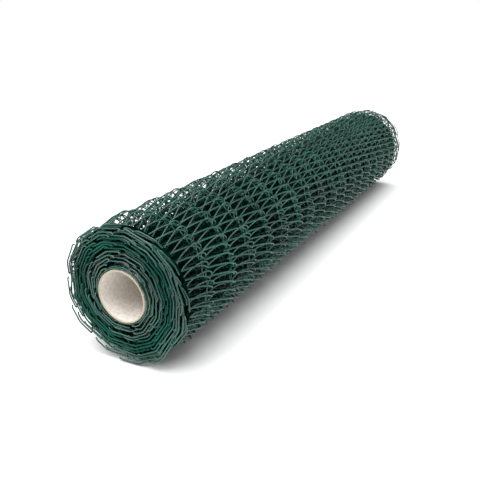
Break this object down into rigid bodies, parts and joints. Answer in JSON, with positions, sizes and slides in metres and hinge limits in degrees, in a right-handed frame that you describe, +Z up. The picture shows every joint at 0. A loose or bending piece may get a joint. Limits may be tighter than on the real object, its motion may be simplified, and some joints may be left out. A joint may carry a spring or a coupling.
{
  "type": "chain-link fence roll",
  "caption": "Roll of green coated chain-link fence wound tight on a cardboard tube, stored lying on its side before it is unrolled along posts.",
  "frame": {"origin": "on the floor, under the middle of the roll", "axes": "+Y along the roll's axis, away from the end that the reference view shows; +Z up; +X to the right of that end"},
  "size_m": [0.1886, 1, 0.1872],
  "materials": {
    "coated_wire": "dark green semi-gloss plastic coating on steel wire",
    "tube_board": "off-white wound paperboard, matt"
  },
  "bodies": {
    "root": {"rolled_mesh": "coated_wire", "core_tube": "tube_board"}
  },
  "joints": []
}
